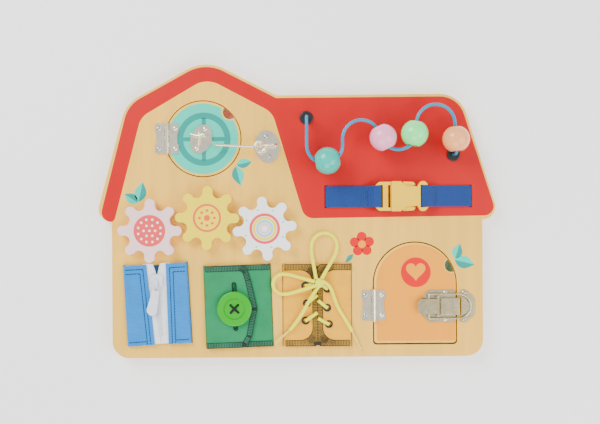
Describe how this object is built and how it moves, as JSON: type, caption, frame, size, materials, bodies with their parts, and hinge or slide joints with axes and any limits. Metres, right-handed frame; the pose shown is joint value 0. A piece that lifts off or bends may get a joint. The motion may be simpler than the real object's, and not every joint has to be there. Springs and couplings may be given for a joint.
{
  "type": "wooden busy board",
  "caption": "Barn-shaped activity board with hinged doors, meshing gears, bead wire, strap buckle, zip, buttoned flap and lacing to practise with",
  "frame": {"origin": "middle of the back face, the face the board lies on", "axes": "+X to the right along the board, +Y up the board towards the roof ridge, +Z out of its play face"},
  "size_m": [0.3769, 0.2785, 0.0416],
  "materials": {
    "birch": "clear satin lacquer over birch ply",
    "yellow_wood": "satin paint on ply",
    "steel": "bright plated steel",
    "pale_brass": "pale brass plate",
    "pink_paint": "satin paint",
    "yellow_paint": "satin paint",
    "white_paint": "satin paint",
    "black_plastic": "moulded",
    "teal_wire": "plastic coated steel wire",
    "bead_teal": "gloss lacquer",
    "bead_pink": "gloss lacquer",
    "bead_green": "gloss lacquer",
    "bead_peach": "gloss lacquer",
    "blue_webbing": "woven polyester webbing",
    "yellow_plastic": "moulded acetal",
    "blue_cloth": "fine ribbed cloth",
    "white_tape": "woven zip tape",
    "white_plastic": "moulded",
    "green_cloth": "felted cloth",
    "green_plastic": "moulded",
    "black_thread": "sewing thread",
    "gold_cloth": "fine ribbed cloth",
    "yellow_lace": "braided round lace",
    "clear_tip": "clear lace tip"
  },
  "bodies": {
    "board": {"front_board": "birch", "back_board": "birch", "board_screws": "steel", "hinge_pins": "steel", "hinge_board_leaves": "pale_brass", "hook_base_plate": "pale_brass", "hook_base_eye": "pale_brass", "latch_strike": "pale_brass", "gear_spacers": "black_plastic", "wire_grommets": "black_plastic", "lace_eyelets": "black_plastic", "bead_wire": "teal_wire", "strap_left": "blue_webbing", "strap_right": "blue_webbing", "buckle_socket": "yellow_plastic", "zip_panel_left": "blue_cloth", "zip_panel_right": "blue_cloth", "zip_tapes": "white_tape", "zip_teeth": "white_plastic", "button_panel": "green_cloth", "button_thread": "black_thread", "lace_panel_left": "gold_cloth", "lace_panel_right": "gold_cloth", "lace_rungs": "yellow_lace", "lace_knot": "yellow_lace", "lace_top_loop": "yellow_lace", "lace_left_loop": "yellow_lace", "lace_left_tail": "yellow_lace", "lace_right_tail": "yellow_lace", "lace_tips": "clear_tip"},
    "window": {"window_door": "birch", "window_hinge_leaf": "pale_brass", "hook_keeper_plate": "pale_brass", "hook_keeper_eye": "pale_brass", "window_door_screws": "steel"},
    "hook": {"window_hook": "pale_brass"},
    "door": {"arched_door": "yellow_wood", "arched_hinge_leaf": "pale_brass", "latch_base": "pale_brass", "latch_pivot_pin": "steel", "arched_door_screws": "steel"},
    "lever": {"latch_lever": "pale_brass"},
    "bail": {"latch_bail": "pale_brass"},
    "flower": {"flower_gear": "pink_paint", "flower_axle": "steel"},
    "sun": {"sun_gear": "yellow_paint", "sun_axle": "steel"},
    "rainbow": {"rainbow_gear": "white_paint", "rainbow_axle": "steel"},
    "teal_bead": {"bead_teal": "bead_teal"},
    "pink_bead": {"bead_pink": "bead_pink"},
    "green_bead": {"bead_green": "bead_green"},
    "peach_bead": {"bead_peach": "bead_peach"},
    "slider": {"zip_slider": "white_plastic"},
    "pull": {"zip_pull": "white_plastic"},
    "flap": {"button_flap": "green_cloth"},
    "round_button": {"button": "green_plastic"},
    "plug": {"buckle_plug": "yellow_plastic"},
    "upper_arm": {"buckle_arm_upper": "yellow_plastic"},
    "lower_arm": {"buckle_arm_lower": "yellow_plastic"}
  },
  "joints": [
    {"name": "sun_gear_spin", "type": "hinge", "parent": "board", "child": "sun", "pos_m": [-0.0845, -0.0064, 0.0166], "axis": [0, 0, 1], "continuous": true},
    {"name": "flower_gear_spin", "type": "hinge", "parent": "board", "child": "flower", "pos_m": [-0.1386, -0.0181, 0.0166], "axis": [0, 0, 1], "continuous": true},
    {"name": "rainbow_gear_spin", "type": "hinge", "parent": "board", "child": "rainbow", "pos_m": [-0.0304, -0.0168, 0.0166], "axis": [0, 0, 1], "continuous": true},
    {"name": "window_hook_lift", "type": "hinge", "parent": "board", "child": "hook", "pos_m": [-0.0344, 0.06, 0.021], "axis": [0, 1, 0], "range_deg": [0, 105]},
    {"name": "window_door_swing", "type": "hinge", "parent": "board", "child": "window", "pos_m": [-0.123, 0.069, 0.01395], "axis": [0, -1, 0], "range_deg": [0, 150]},
    {"name": "latch_lever_lift", "type": "hinge", "parent": "door", "child": "lever", "pos_m": [0.1325, -0.0915, 0.0152], "axis": [0, 1, 0], "range_deg": [0, 110]},
    {"name": "latch_bail_swing", "type": "hinge", "parent": "lever", "child": "bail", "pos_m": [0.124, -0.0915, 0.0147], "axis": [0, 1, 0], "range_deg": [-150, 0]},
    {"name": "arched_door_swing", "type": "hinge", "parent": "board", "child": "door", "pos_m": [0.072, -0.0905, 0.01395], "axis": [0, -1, 0], "range_deg": [0, 150]},
    {"name": "teal_bead_run", "type": "hinge", "parent": "board", "child": "teal_bead", "pos_m": [0.0261, 0.0603, 0.029], "axis": [0, 0, 1], "range_deg": [-35, 35]},
    {"name": "pink_bead_run", "type": "hinge", "parent": "board", "child": "pink_bead", "pos_m": [0.0945, 0.0734, 0.029], "axis": [0, 0, 1], "range_deg": [0, 15]},
    {"name": "green_bead_run", "type": "hinge", "parent": "board", "child": "green_bead", "pos_m": [0.0945, 0.0734, 0.029], "axis": [0, 0, 1], "range_deg": [-15, 8]},
    {"name": "peach_bead_run", "type": "slide", "parent": "board", "child": "peach_bead", "axis": [-0.0642, 0.9979, 0], "range_m": [0, 0.01]},
    {"name": "zip_slide", "type": "slide", "parent": "board", "child": "slider", "axis": [0.0523, -0.9986, 0], "range_m": [0, 0.048], "deforming": ["zip_teeth", "zip_tapes"]},
    {"name": "zip_pull_swing", "type": "hinge", "parent": "slider", "child": "pull", "pos_m": [-0.13252, -0.07026, 0.01815], "axis": [-0.9799, 0.1994, 0], "range_deg": [0, 120]},
    {"name": "flap_open", "type": "hinge", "parent": "board", "child": "flap", "pos_m": [-0.08708, -0.09127, 0.0149], "axis": [0.0314, -0.9995, 0], "range_deg": [0, 140], "deforming": ["button_flap"]},
    {"name": "button_turn", "type": "hinge", "parent": "board", "child": "round_button", "pos_m": [-0.05954, -0.09221, 0.0178], "axis": [0, 0, 1], "range_deg": [-40, 40], "deforming": ["button_thread"]},
    {"name": "buckle_slide", "type": "slide", "parent": "board", "child": "plug", "axis": [-1, 0, 0], "range_m": [0, 0.024], "deforming": ["strap_left", "buckle_arm_upper", "buckle_arm_lower"]},
    {"name": "upper_arm_squeeze", "type": "hinge", "parent": "plug", "child": "upper_arm", "pos_m": [0.0919, 0.0235, 0.0164], "axis": [0, 0, -1], "range_deg": [0, 7], "stiffness_Nm_per_rad": 0.05},
    {"name": "lower_arm_squeeze", "type": "hinge", "parent": "plug", "child": "lower_arm", "pos_m": [0.0919, 0.0021, 0.0164], "axis": [0, 0, 1], "range_deg": [0, 7], "stiffness_Nm_per_rad": 0.05}
  ],
  "couplings": [
    {"joint": "flower_gear_spin", "follows": "sun_gear_spin", "ratio": -1},
    {"joint": "rainbow_gear_spin", "follows": "sun_gear_spin", "ratio": -1},
    {"joint": "window_door_swing", "follows": "window_hook_lift", "ratio": 0.4},
    {"joint": "latch_bail_swing", "follows": "latch_lever_lift", "ratio": -1.3},
    {"joint": "arched_door_swing", "follows": "latch_lever_lift", "ratio": 0.9}
  ]
}
